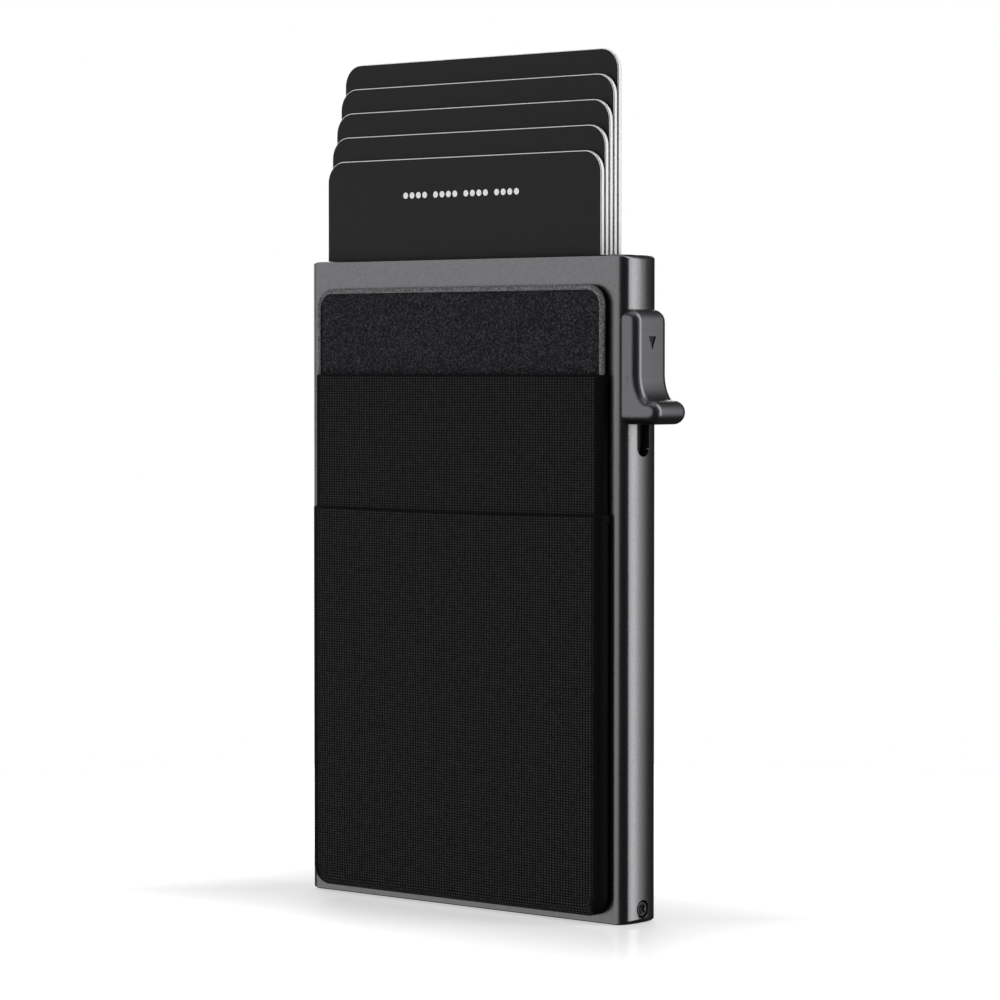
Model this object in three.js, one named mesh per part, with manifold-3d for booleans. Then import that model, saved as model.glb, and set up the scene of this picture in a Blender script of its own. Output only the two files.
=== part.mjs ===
// Pop-up card wallet: a flat aluminium tube with five cards, a side thumb lever
// that turns a stepped ejector, and a stick-on elastic pocket on the front face.
// Units are millimetres. X is the width, -Y is the front face, Z points up.
// The origin is the middle of the bottom face.
import * as THREE from "three";
import { mergeVertices } from "three/addons/utils/BufferGeometryUtils.js";
import Module from "manifold-3d";

const wasm = await Module();
wasm.setup();

// ---------- driving dimensions ----------

// Cards
const CARD_WIDTH = 53.98;
const CARD_HEIGHT = 85.6;
const CARD_THICKNESS = 0.76;
const CARD_CORNER = 3.18;
const CARD_COUNT = 5;
const CARD_GAP = 0.207; // between neighbouring cards
const CARD_SIDE_GAP = 0.25; // card edge to rail
const CARD_SINK = 0.7; // top of a card pushed home, below the rim
const FIRST_RAISE = 15.1; // front card above the rim when ejected
const RAISE_STEP = 3.72; // each card behind stands this much higher

// Case
const WALL = 1.2;
const CASE_CORNER = 2.5; // vertical corner radius of the section
const CASE_EDGE = 0.8; // rounding of the top and bottom rims
const EJECTOR_SPACE = 9.7; // height under a card pushed home
const LEFT_RAIL = 1.3;
const RAIL_WALL = 0.7; // wall between the cards and the channel
const CHANNEL = 3.82; // width of the mechanism's channel
const STRIP_THICKNESS = 0.4; // friction strip in front of and behind the cards
const STRIP_GAP = 0.0825; // strip to the stack of cards
const FIT = 0.05; // clearance of pieces fixed inside the case
const RUNNING = 0.06; // radial clearance of pins and shanks

// Bottom cap and its screws
const CAP_PLATE = 1.6;
const SCREW_Z = 2.1;
const SCREW_SHANK_R = 0.7;
const SCREW_HEAD_R = 1.12;
const SCREW_HEAD_SINK = 0.12; // head below the case's surface
const SCREW_LENGTH = 4.4;
const SCREW_TIP_GAP = 0.3;
const SINK_EXTRA = 0.2; // countersink radius beyond the head
const BOSS_WALL = 0.5; // cap material over the screw
const BOSS_LENGTH = 3.6;
const CROSS_WIDTH = 0.34;
const CROSS_SPAN = 1.3;
const CROSS_DEPTH = 0.45;

// Ejector
const PIVOT_PIN_R = 0.8;
const HUB_R = 1.8;
const HOME_GAP = 0.4; // ejector at rest to a card pushed home
const EJECT_ANGLE = 42; // degrees of swing
const TAIL_ARM = 6.7; // pivot to drive pin
const TAIL_END_R = 1.25;
const TAIL_THICKNESS = 1.8;
const TIP_GAP = 0.3; // blade tip under an ejected card
const BLADE_TIP_DEPTH = 1.3;
const BLADE_TIP_R = 0.6;
const BRACKET_SHEET = 0.35;
const BRACKET_BASE = 0.4;
const BRACKET_HALF = 2;
const BRACKET_CORNER = 1;

// Drive pin, fork, rod
const DRIVE_PIN_R = 0.7;
const FORK_PLAY = 0.12;
const FORK_PRONG = 0.75;
const FORK_SIDE = 0.7;
const FORK_THICKNESS = 1.8;
const WINDOW_CORNER = 0.4;
const FORK_BOSS = 3.2;
const TAIL_FORK_GAP = 0.3;
const ROD_R = 0.7;
const ROD_GRIP = 2.2; // rod length held in the fork and in the carriage

// Thumb lever
const LEVER_DROP = 7.8; // lever's top below the rim
const LEVER_HEIGHT = 16.45;
const LEVER_WIDTH = 7.6;
const LEVER_STAND = 1.6; // pad face beyond the case's end
const LEVER_GAP = 0.15; // running gap between lever and case
const LEVER_EDGE = 1; // rounding of the front and back edges
const PAD_CORNER = 1.45;
const NOSE_REACH = 5.3; // nose tip beyond the case's end
const NOSE_HEIGHT = 3.45;
const NOSE_R = 1.5;
const HOLLOW_RISE = 3.8; // height of the concave sweep above the nose
const ARROW_DROP = 3.85; // arrow below the lever's top
const ARROW_HEIGHT = 1.95;
const ARROW_WIDTH = 1.65;
const ARROW_DEPTH = 0.2;

// Slot and carriage
const SLOT_WIDTH = 2.7;
const NECK_GAP = 0.15; // neck to slot flank
const NECK_END_GAP = 0.3; // neck to slot end at either end of travel
const NECK_INSET = 0.45; // neck's lower end above the lever's
const NECK_HEIGHT = 9.4;
const NECK_BITE = 0.6; // neck inside the lever
const CARRIAGE_GAP = 0.1; // carriage to each side of the channel
const CARRIAGE_DEPTH = 4.4;
const CARRIAGE_HEAD = 1.6; // carriage above the neck
const CARRIAGE_SKIRT = 5.6; // carriage below the neck, which keeps the slot covered
const CLAMP_SCREW_R = 0.5;
const CLAMP_HEAD_R = 0.95;
const CLAMP_HEAD = 0.6;
const CLAMP_HEAD_GAP = 0.1;
const CLAMP_INSET = 2.2; // clamp screw from the neck's end
const CLAMP_BITE = 1.3; // clamp screw inside the lever

// Rails, strips and spring
const RAIL_LID = 1.5;
const RAIL_LID_DROP = 0.8; // rail's lid below the rim
const SHELF = 1.5;
const SHELF_GAP = 0.35; // guide shelf above the fork
const SEAT_R = 1.5;
const SEAT_THICKNESS = 0.4;
const SPRING_LENGTH = 14.5;
const SPRING_R = 1.2; // middle of the wire
const SPRING_WIRE_R = 0.18;
const SPRING_TURNS = 9;
const SPRING_END_GAP = 0.09; // wire to the faces it pushes on
const STRIP_INSET = 5; // friction strip inside the card's edges
const STRIP_DROP = 5; // friction strip below the rim
const STRIP_HEIGHT = 13;

// Stick-on pocket
const PANEL_MARGIN = 0.25; // panel inside the case's flat face
const PANEL_BOTTOM = 1.2;
const PANEL_DROP = 3.8; // panel's top below the rim
const PANEL_CORNER = 3;
const TAPE = 0.2;
const TAPE_INSET = 1.2;
const BOARD = 0.6;
const RIM_WIDTH = 0.8;
const RIM_RISE = 0.25; // rim above the lining
const LINING = 0.25;
const LINING_SHOWN = 13.35; // lining above the upper pocket
const UPPER_SHOWN = 20; // upper pocket above the lower one
const UPPER_ELASTIC = 0.65;
const LOWER_ELASTIC = 0.5;

// Facets
const CORNER_FACETS = 5;
const ROUND_SIDES = 24;
const EDGE_FACETS = 2;
const SIDE_FACETS = 7;
const WIRE_FACETS = 3;
const COIL_FACETS = 10; // along one turn of the spring
const ROUND_END = 0.99; // share of the half width that rounds a slot's end

// Cuts
const OVERCUT = 1; // how far a cut runs on past the face it opens
const SKIN = 0.001; // the same for a cone, whose size must be right at the face

// ---------- worked out from the driving dimensions ----------

const cardPitch = CARD_THICKNESS + CARD_GAP;
const stackDepth = CARD_COUNT * cardPitch;
const stackFront = -stackDepth / 2;
const wellHalfDepth = stackDepth / 2 + STRIP_GAP + STRIP_THICKNESS;
const halfDepth = wellHalfDepth + WALL;
const cardSpace = CARD_WIDTH + 2 * CARD_SIDE_GAP;
const wellHalfWidth = (LEFT_RAIL + cardSpace + RAIL_WALL + CHANNEL) / 2;
const halfWidth = wellHalfWidth + WALL;
const caseHeight = EJECTOR_SPACE + CARD_HEIGHT + CARD_SINK;
const cardLeft = -wellHalfWidth + LEFT_RAIL + CARD_SIDE_GAP;
const cardRight = cardLeft + CARD_WIDTH;
const channelLeft = wellHalfWidth - CHANNEL;
const bossTop = SCREW_Z + SCREW_SHANK_R + BOSS_WALL;
const screwFace = halfWidth - SCREW_HEAD_SINK;

const swing = THREE.MathUtils.degToRad(EJECT_ANGLE);
const leverTravel = 2 * TAIL_ARM * Math.sin(swing / 2);
const rodX = wellHalfWidth - CHANNEL / 2;
const pivotX = rodX - (TAIL_ARM * (1 + Math.cos(swing / 2))) / 2;
const pivotZ = EJECTOR_SPACE - HOME_GAP - HUB_R;
const pinX = pivotX + TAIL_ARM * Math.cos(swing / 2);
const pinZ = pivotZ + leverTravel / 2;
const tailBack = -TAIL_FORK_GAP;
const forkBack = FORK_THICKNESS;
const rodY = FORK_THICKNESS / 2;
const forkTop = pinZ + DRIVE_PIN_R + FORK_PLAY + FORK_PRONG + FORK_BOSS;

const leverTop = caseHeight - LEVER_DROP;
const leverBottom = leverTop - LEVER_HEIGHT;
const padX = halfWidth + LEVER_STAND;
const neckBottom = leverBottom + NECK_INSET;
const neckTop = neckBottom + NECK_HEIGHT;
const neckTip = halfWidth + LEVER_GAP + NECK_BITE;
const slotBottom = neckBottom - leverTravel - NECK_END_GAP;
const slotTop = neckTop + NECK_END_GAP;
const slotHalf = SLOT_WIDTH / 2;
const neckHalf = slotHalf - NECK_GAP;
const carriageLeft = channelLeft + CARRIAGE_GAP;
const carriageBottom = neckBottom - CARRIAGE_SKIRT;
const clampHeights = [neckBottom + CLAMP_INSET, neckTop - CLAMP_INSET];
const clampTip = halfWidth + LEVER_GAP + CLAMP_BITE;

const railBottom = forkTop + SHELF_GAP;
const railTop = caseHeight - RAIL_LID_DROP;
const seatTop = carriageBottom - SPRING_LENGTH;
const springShelf = seatTop - SEAT_THICKNESS - SHELF;

const panelHalf = halfWidth - CASE_CORNER - PANEL_MARGIN;
const panelTop = caseHeight - PANEL_DROP;
const upperPocketTop = panelTop - LINING_SHOWN;
const lowerPocketTop = upperPocketTop - UPPER_SHOWN;
const tapeFront = -halfDepth - TAPE;
const boardFront = tapeFront - BOARD;
const liningFront = boardFront - LINING;
const upperFront = liningFront - UPPER_ELASTIC;
const lowerFront = upperFront - LOWER_ELASTIC;

// ---------- tools ----------

// A geometry as a manifold solid.
function solid(geometry) {
  const bare = new THREE.BufferGeometry();
  const plain = geometry.index ? geometry.toNonIndexed() : geometry;
  bare.setAttribute("position", plain.getAttribute("position"));
  const merged = mergeVertices(bare, 1e-4);
  return new wasm.Manifold(
    new wasm.Mesh({
      numProp: 3,
      vertProperties: new Float32Array(merged.attributes.position.array),
      triVerts: new Uint32Array(merged.index.array),
    }),
  );
}

// A manifold solid as a geometry.
function surface(made) {
  const mesh = made.getMesh();
  const geometry = new THREE.BufferGeometry();
  geometry.setAttribute("position", new THREE.BufferAttribute(mesh.vertProperties, 3));
  geometry.setIndex(new THREE.BufferAttribute(mesh.triVerts, 1));
  geometry.computeVertexNormals();
  return geometry;
}

// A box from its lowest and highest corners.
function box(low, high) {
  const size = high.map((value, i) => value - low[i]);
  const geometry = new THREE.BoxGeometry(...size);
  return solid(geometry.translate(...low.map((value, i) => value + size[i] / 2)));
}

// A round bar or cone along X, Y or Z, from one end to the other.
function bar(axis, start, end, radius, across, endRadius = radius) {
  const geometry = new THREE.CylinderGeometry(endRadius, radius, end - start, ROUND_SIDES);
  const middle = (start + end) / 2;
  if (axis === "x") geometry.rotateZ(-Math.PI / 2).translate(middle, across[0], across[1]);
  if (axis === "y") geometry.translate(across[0], middle, across[1]);
  if (axis === "z") geometry.rotateX(Math.PI / 2).translate(across[0], across[1], middle);
  return solid(geometry);
}

// A rectangle with round corners, from its low and high corners.
function roundedRectangle(left, low, right, high, radius) {
  const shape = new THREE.Shape();
  shape.moveTo(left + radius, low);
  shape.absarc(right - radius, low + radius, radius, -Math.PI / 2, 0);
  shape.absarc(right - radius, high - radius, radius, 0, Math.PI / 2);
  shape.absarc(left + radius, high - radius, radius, Math.PI / 2, Math.PI);
  shape.absarc(left + radius, low + radius, radius, Math.PI, Math.PI * 1.5);
  return shape;
}

// A shape drawn in X and Y, extruded upwards, with its rims rounded when asked.
function upright(shape, low, high, edge = 0) {
  const geometry = new THREE.ExtrudeGeometry(shape, {
    depth: high - low - 2 * edge,
    curveSegments: CORNER_FACETS,
    bevelEnabled: edge > 0,
    bevelThickness: edge,
    bevelSize: edge,
    bevelOffset: -edge,
    bevelSegments: EDGE_FACETS,
  });
  return solid(geometry.translate(0, 0, low + edge));
}

// A shape drawn in X and Z, extruded from its front face to its back face.
function facing(shape, front, back, edge = 0) {
  const geometry = new THREE.ExtrudeGeometry(shape, {
    depth: back - front - 2 * edge,
    curveSegments: CORNER_FACETS,
    bevelEnabled: edge > 0,
    bevelThickness: edge,
    bevelSize: edge,
    bevelOffset: -edge,
    bevelSegments: EDGE_FACETS,
  });
  return solid(geometry.rotateX(Math.PI / 2).translate(0, back - edge, 0));
}

// A shape drawn in Y and Z, extruded along X.
function sideways(shape, start, end) {
  const geometry = new THREE.ExtrudeGeometry(shape, {
    depth: end - start,
    curveSegments: SIDE_FACETS,
    bevelEnabled: false,
  });
  return solid(geometry.rotateX(Math.PI / 2).rotateZ(Math.PI / 2).translate(start, 0, 0));
}

// The case's section grown or shrunk by an offset.
function section(offset) {
  const x = halfWidth + offset;
  const y = halfDepth + offset;
  return roundedRectangle(-x, -y, x, y, CASE_CORNER + offset);
}

// A piece of the case's right end turned round to the left end.
function leftEnd(made) {
  return made.rotate([0, 0, 180]);
}

// The space inside the case, less the fit clearance of what is fixed there.
function insideCase(low, high) {
  return upright(section(-WALL - FIT), low, high);
}

// ---------- materials ----------

const finishes = {
  case_aluminium: { color: 0x6c6c6e, roughness: 0.38, metalness: 0.9 },
  lever_aluminium: { color: 0x616163, roughness: 0.36, metalness: 0.9 },
  dark_steel: { color: 0x242426, roughness: 0.35, metalness: 0.8 },
  spring_steel: { color: 0xb8babd, roughness: 0.3, metalness: 1 },
  inner_plastic: { color: 0x2b2b2d, roughness: 0.6, metalness: 0 },
  felt: { color: 0x1e1e20, roughness: 0.95, metalness: 0 },
  tape: { color: 0xd8d8d4, roughness: 0.7, metalness: 0 },
  rim_leatherette: { color: 0x3c3c3e, roughness: 0.7, metalness: 0 },
  lining_suede: { color: 0x26272b, roughness: 0.95, metalness: 0 },
  elastic: { color: 0x1a1a1b, roughness: 0.9, metalness: 0 },
  card_plastic: { color: 0x2a2a2b, roughness: 0.4, metalness: 0 },
};

const wallet = new THREE.Group();

function add(name, finish, made, group = wallet) {
  const material = new THREE.MeshStandardMaterial(finishes[finish]);
  const mesh = new THREE.Mesh(surface(made), material);
  mesh.name = name;
  group.add(mesh);
}

// ---------- case ----------

function caseShell() {
  const outside = upright(section(0), 0, caseHeight, CASE_EDGE);
  const inside = upright(section(-WALL), -OVERCUT, caseHeight + OVERCUT);
  const slot = roundedRectangle(-slotHalf, slotBottom, slotHalf, slotTop, slotHalf * ROUND_END);
  const opening = sideways(slot, wellHalfWidth - OVERCUT, halfWidth + OVERCUT);
  const hole = countersunkHole();
  return outside.subtract(inside).subtract(opening).subtract(hole).subtract(leftEnd(hole));
}

// What is cut out of the case's right end for a screw.
function countersunkHole() {
  const shank = SCREW_SHANK_R + RUNNING;
  const neck = screwFace - (SCREW_HEAD_R - SCREW_SHANK_R);
  const mouth = SCREW_HEAD_R + SINK_EXTRA;
  const hole = bar("x", wellHalfWidth - OVERCUT, halfWidth + OVERCUT, shank, [0, SCREW_Z]);
  return hole.add(bar("x", neck, halfWidth + SKIN, shank, [0, SCREW_Z], mouth));
}

// A plate that closes the bottom, with a boss at each end for a screw.
function bottomCap() {
  const inner = wellHalfWidth - BOSS_LENGTH;
  const blank = insideCase(0, bossTop);
  const hollow = box([-inner, -halfDepth, CAP_PLATE], [inner, halfDepth, bossTop + OVERCUT]);
  const deep = screwFace - SCREW_LENGTH - SCREW_TIP_GAP;
  const hole = bar("x", deep, halfWidth, SCREW_SHANK_R + RUNNING, [0, SCREW_Z]);
  return blank.subtract(hollow).subtract(hole).subtract(leftEnd(hole));
}

// A countersunk screw with a cross recess, lying in the case's right end.
function capScrew() {
  const neck = screwFace - (SCREW_HEAD_R - SCREW_SHANK_R);
  const deep = screwFace - CROSS_DEPTH;
  const out = screwFace + OVERCUT;
  const w = CROSS_WIDTH / 2;
  const s = CROSS_SPAN / 2;
  const shank = bar("x", screwFace - SCREW_LENGTH, neck, SCREW_SHANK_R, [0, SCREW_Z]);
  const head = bar("x", neck, screwFace, SCREW_SHANK_R, [0, SCREW_Z], SCREW_HEAD_R);
  const upstroke = box([deep, -w, SCREW_Z - s], [out, w, SCREW_Z + s]);
  const crossbar = box([deep, -s, SCREW_Z - w], [out, s, SCREW_Z + w]);
  return shank.add(head).subtract(upstroke).subtract(crossbar);
}

// ---------- rails, strips, spring ----------

function leftRail() {
  const right = cardLeft - CARD_SIDE_GAP;
  const block = box([-halfWidth, -halfDepth, railBottom], [right, halfDepth, railTop]);
  return block.intersect(insideCase(railBottom, railTop));
}

// The wall beside the cards, with a lid at the rim and two shelves across the channel.
function rightRail() {
  const left = channelLeft - RAIL_WALL;
  let rail = box([left, -halfDepth, railBottom], [channelLeft, halfDepth, railTop]);
  rail = rail.add(box([left, -halfDepth, railTop - RAIL_LID], [halfWidth, halfDepth, railTop]));
  for (const z of [railBottom, springShelf]) {
    rail = rail.add(box([left, -halfDepth, z], [halfWidth, halfDepth, z + SHELF]));
    rail = rail.subtract(
      bar("z", z - OVERCUT, z + SHELF + OVERCUT, ROD_R + RUNNING, [rodX, rodY]),
    );
  }
  return rail.intersect(insideCase(railBottom, railTop));
}

function frictionStrip(front) {
  const y = front ? -wellHalfDepth : wellHalfDepth - STRIP_THICKNESS;
  const high = caseHeight - STRIP_DROP;
  return box(
    [cardLeft + STRIP_INSET, y, high - STRIP_HEIGHT],
    [cardRight - STRIP_INSET, y + STRIP_THICKNESS, high],
  );
}

function springSeat() {
  const low = seatTop - SEAT_THICKNESS;
  const disc = bar("z", low, seatTop, SEAT_R, [rodX, rodY]);
  return disc.subtract(
    bar("z", low - OVERCUT, seatTop + OVERCUT, ROD_R + RUNNING, [rodX, rodY]),
  );
}

// A coil spring between the seat and the carriage.
function returnSpring() {
  const low = seatTop + SPRING_END_GAP + SPRING_WIRE_R;
  const high = carriageBottom - SPRING_END_GAP - SPRING_WIRE_R;
  const steps = SPRING_TURNS * COIL_FACETS;
  const points = [];
  for (let i = 0; i <= steps; i += 1) {
    const turn = (i / COIL_FACETS) * 2 * Math.PI;
    const x = rodX + SPRING_R * Math.cos(turn);
    const y = rodY + SPRING_R * Math.sin(turn);
    points.push(new THREE.Vector3(x, y, low + ((high - low) * i) / steps));
  }
  const wire = new THREE.Shape();
  wire.absarc(0, 0, SPRING_WIRE_R, 0, 2 * Math.PI);
  const geometry = new THREE.ExtrudeGeometry(wire, {
    steps,
    curveSegments: WIRE_FACETS,
    bevelEnabled: false,
    extrudePath: new THREE.CatmullRomCurve3(points),
  });
  return solid(geometry);
}

// ---------- ejector ----------

// The angle-steel bracket on the cap that carries the pivot pin.
function ejectorBracket() {
  const outer = wellHalfDepth - FIT;
  const low = CAP_PLATE;
  const left = pivotX - BRACKET_HALF;
  const right = pivotX + BRACKET_HALF;
  const top = pivotZ + HUB_R;
  let bracket = box([left, -outer, low], [right, outer, low + BRACKET_BASE]);
  for (const y of [-outer, outer - BRACKET_SHEET]) {
    const ear = roundedRectangle(left, low, right, top, BRACKET_CORNER);
    bracket = bracket.add(facing(ear, y, y + BRACKET_SHEET));
    bracket = bracket.add(box([left, y, low], [right, y + BRACKET_SHEET, low + BRACKET_HALF]));
  }
  return bracket.subtract(
    bar("y", -halfDepth, halfDepth, PIVOT_PIN_R + RUNNING, [pivotX, pivotZ]),
  );
}

function pivotPin() {
  const half = wellHalfDepth - FIT;
  return bar("y", -half, half, PIVOT_PIN_R, [pivotX, pivotZ]);
}

// The reach of a blade whose tip stops just under its card at full swing.
function bladeReach(index) {
  const raised = EJECTOR_SPACE + CARD_SINK + FIRST_RAISE + index * RAISE_STEP;
  const rise = raised - TIP_GAP - pivotZ;
  return (rise - HUB_R * Math.cos(swing)) / Math.sin(swing);
}

// A blade from the hub to its rounded tip.
function bladeShape(reach) {
  const top = pivotZ + HUB_R;
  const tip = pivotX - reach;
  const shape = new THREE.Shape();
  shape.moveTo(pivotX, pivotZ - HUB_R);
  shape.lineTo(pivotX, top);
  shape.lineTo(tip + BLADE_TIP_R, top);
  shape.absarc(tip + BLADE_TIP_R, top - BLADE_TIP_R, BLADE_TIP_R, Math.PI / 2, Math.PI);
  shape.lineTo(tip, top - BLADE_TIP_DEPTH);
  return shape;
}

// Five stepped blades, a hub and a tail with the drive pin's hole, in one moulding.
function ejector() {
  const back = -stackFront;
  let part = bar("y", stackFront, back, HUB_R, [pivotX, pivotZ]);
  for (let i = 0; i < CARD_COUNT; i += 1) {
    part = part.add(facing(bladeShape(bladeReach(i)), stackFront + i * cardPitch, back));
  }
  const tailFront = tailBack - TAIL_THICKNESS;
  part = part.add(bar("y", tailFront, tailBack, TAIL_END_R, [pinX, pinZ]));
  const along = new THREE.Vector2(pinX - pivotX, pinZ - pivotZ).normalize();
  const across = new THREE.Vector2(-along.y, along.x).multiplyScalar(TAIL_END_R);
  const tail = new THREE.Shape();
  tail.moveTo(pivotX - across.x, pivotZ - across.y);
  tail.lineTo(pinX - across.x, pinZ - across.y);
  tail.lineTo(pinX + across.x, pinZ + across.y);
  tail.lineTo(pivotX + across.x, pivotZ + across.y);
  part = part.add(facing(tail, tailFront, tailBack));
  part = part.subtract(
    bar("y", -halfDepth, halfDepth, PIVOT_PIN_R + RUNNING, [pivotX, pivotZ]),
  );
  return part.subtract(
    bar("y", -halfDepth, halfDepth, DRIVE_PIN_R + RUNNING / 2, [pinX, pinZ]),
  );
}

function drivePin() {
  return bar("y", tailBack - TAIL_THICKNESS, forkBack, DRIVE_PIN_R, [pinX, pinZ]);
}

// ---------- slider ----------

// A plate with a window for the drive pin and a boss for the rod.
function rodFork() {
  const reach = (pivotX + TAIL_ARM - pinX) / 2 + DRIVE_PIN_R + FORK_PLAY;
  const rise = DRIVE_PIN_R + FORK_PLAY;
  const outline = roundedRectangle(
    rodX - reach - FORK_SIDE,
    pinZ - rise - FORK_PRONG,
    rodX + reach + FORK_SIDE,
    pinZ + rise + FORK_PRONG,
    FORK_PRONG,
  );
  let fork = facing(outline, 0, forkBack);
  const half = ROD_R + FORK_SIDE;
  fork = fork.add(box([rodX - half, 0, pinZ + rise], [rodX + half, forkBack, forkTop]));
  const window = roundedRectangle(
    rodX - reach,
    pinZ - rise,
    rodX + reach,
    pinZ + rise,
    WINDOW_CORNER,
  );
  fork = fork.subtract(facing(window, -OVERCUT, forkBack + OVERCUT));
  return fork.subtract(bar("z", forkTop - ROD_GRIP, forkTop + OVERCUT, ROD_R, [rodX, rodY]));
}

function driveRod() {
  return bar("z", forkTop - ROD_GRIP, carriageBottom + ROD_GRIP, ROD_R, [rodX, rodY]);
}

// The section of the neck that runs in the slot.
function neckShape() {
  return roundedRectangle(-neckHalf, neckBottom, neckHalf, neckTop, neckHalf * ROUND_END);
}

// A block behind the slot with a neck that reaches out through it.
function slideCarriage() {
  const y = CARRIAGE_DEPTH / 2;
  const top = neckTop + CARRIAGE_HEAD;
  const channel = upright(section(-WALL - FIT - CARRIAGE_GAP), carriageBottom, top);
  let block = box([carriageLeft, -y, carriageBottom], [halfWidth, y, top]).intersect(channel);
  block = block.add(sideways(neckShape(), carriageLeft, neckTip));
  for (const z of clampHeights) {
    const seat = carriageLeft + CLAMP_HEAD + CLAMP_HEAD_GAP;
    const shank = bar("x", seat, neckTip + OVERCUT, CLAMP_SCREW_R + RUNNING, [0, z]);
    const head = bar("x", carriageLeft - OVERCUT, seat, CLAMP_HEAD_R + RUNNING, [0, z]);
    block = block.subtract(shank).subtract(head);
  }
  const low = carriageBottom - OVERCUT;
  return block.subtract(bar("z", low, carriageBottom + ROD_GRIP, ROD_R, [rodX, rodY]));
}

function clampScrew(z) {
  const screw = bar("x", carriageLeft, clampTip, CLAMP_SCREW_R, [0, z]);
  return screw.add(bar("x", carriageLeft, carriageLeft + CLAMP_HEAD, CLAMP_HEAD_R, [0, z]));
}

// The lever's side outline: pad, concave sweep and round nose.
function leverOutline() {
  const inner = halfWidth - CASE_CORNER;
  const nose = halfWidth + NOSE_REACH;
  const noseTop = leverBottom + NOSE_HEIGHT;
  const sweepEnd = nose - NOSE_R;
  const sweep = sweepEnd - padX;
  const shape = new THREE.Shape();
  shape.moveTo(inner, leverBottom);
  shape.lineTo(sweepEnd, leverBottom);
  shape.absarc(sweepEnd, leverBottom + NOSE_R, NOSE_R, -Math.PI / 2, 0);
  shape.absarc(sweepEnd, noseTop - NOSE_R, NOSE_R, 0, Math.PI / 2);
  shape.absellipse(sweepEnd, noseTop + HOLLOW_RISE, sweep, HOLLOW_RISE, -Math.PI / 2, Math.PI, true);
  shape.lineTo(padX, leverTop - PAD_CORNER);
  shape.absarc(padX - PAD_CORNER, leverTop - PAD_CORNER, PAD_CORNER, 0, Math.PI / 2);
  shape.lineTo(inner, leverTop);
  return shape;
}

function thumbLever() {
  let lever = facing(leverOutline(), -LEVER_WIDTH / 2, LEVER_WIDTH / 2, LEVER_EDGE);
  lever = lever.subtract(upright(section(LEVER_GAP), 0, caseHeight));
  lever = lever.subtract(sideways(neckShape(), halfWidth - OVERCUT, neckTip));
  for (const z of clampHeights) {
    lever = lever.subtract(bar("x", halfWidth - OVERCUT, clampTip, CLAMP_SCREW_R, [0, z]));
  }
  const arrowTop = leverTop - ARROW_DROP;
  const arrow = new THREE.Shape();
  arrow.moveTo(-ARROW_WIDTH / 2, arrowTop);
  arrow.lineTo(0, arrowTop - ARROW_HEIGHT);
  arrow.lineTo(ARROW_WIDTH / 2, arrowTop);
  return lever.subtract(sideways(arrow, padX - ARROW_DEPTH, padX + OVERCUT));
}

// ---------- stick-on pocket ----------

// A layer of the pocket, with round bottom corners and, when asked, round top ones.
function sheet(inset, low, top, front, back, roundTop) {
  const x = panelHalf - inset;
  const radius = PANEL_CORNER - inset;
  const shape = new THREE.Shape();
  shape.moveTo(-x + radius, low + inset);
  shape.absarc(x - radius, low + inset + radius, radius, -Math.PI / 2, 0);
  if (roundTop) {
    shape.absarc(x - radius, top - radius, radius, 0, Math.PI / 2);
    shape.absarc(-x + radius, top - radius, radius, Math.PI / 2, Math.PI);
  } else {
    shape.lineTo(x, top);
    shape.lineTo(-x, top);
  }
  shape.absarc(-x + radius, low + inset + radius, radius, Math.PI, Math.PI * 1.5);
  return facing(shape, front, back);
}

function panelRim() {
  const back = boardFront;
  const front = liningFront - RIM_RISE;
  const outer = sheet(0, PANEL_BOTTOM, panelTop, front, back, true);
  const inner = sheet(
    RIM_WIDTH,
    PANEL_BOTTOM,
    panelTop - RIM_WIDTH,
    front - OVERCUT,
    back + OVERCUT,
    true,
  );
  return outer.subtract(inner);
}

// ---------- cards ----------

function card(index) {
  const bottom = caseHeight + FIRST_RAISE + index * RAISE_STEP - CARD_HEIGHT;
  const y = stackFront + (index + 0.5) * cardPitch;
  const shape = roundedRectangle(cardLeft, bottom, cardRight, bottom + CARD_HEIGHT, CARD_CORNER);
  return facing(shape, y - CARD_THICKNESS / 2, y + CARD_THICKNESS / 2);
}

// ---------- assembly ----------

const body = new THREE.Group();
const slider = new THREE.Group();
const lifter = new THREE.Group();
const pocket = new THREE.Group();
const cards = new THREE.Group();
wallet.add(body, slider, lifter, pocket, cards);

add("case_shell", "case_aluminium", caseShell(), body);
add("bottom_cap", "inner_plastic", bottomCap(), body);
add("screw_right", "dark_steel", capScrew(), body);
add("screw_left", "dark_steel", leftEnd(capScrew()), body);
add("left_rail", "inner_plastic", leftRail(), body);
add("right_rail", "inner_plastic", rightRail(), body);
add("friction_strip_front", "felt", frictionStrip(true), body);
add("friction_strip_back", "felt", frictionStrip(false), body);
add("spring_seat", "spring_steel", springSeat(), body);
add("return_spring", "spring_steel", returnSpring(), body);
add("ejector_bracket", "spring_steel", ejectorBracket(), body);
add("pivot_pin", "spring_steel", pivotPin(), body);

add("ejector", "inner_plastic", ejector(), lifter);
add("drive_pin", "spring_steel", drivePin(), lifter);

add("thumb_lever", "lever_aluminium", thumbLever(), slider);
add("slide_carriage", "inner_plastic", slideCarriage(), slider);
add("lever_screw_lower", "dark_steel", clampScrew(clampHeights[0]), slider);
add("lever_screw_upper", "dark_steel", clampScrew(clampHeights[1]), slider);
add("drive_rod", "spring_steel", driveRod(), slider);
add("rod_fork", "inner_plastic", rodFork(), slider);

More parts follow.
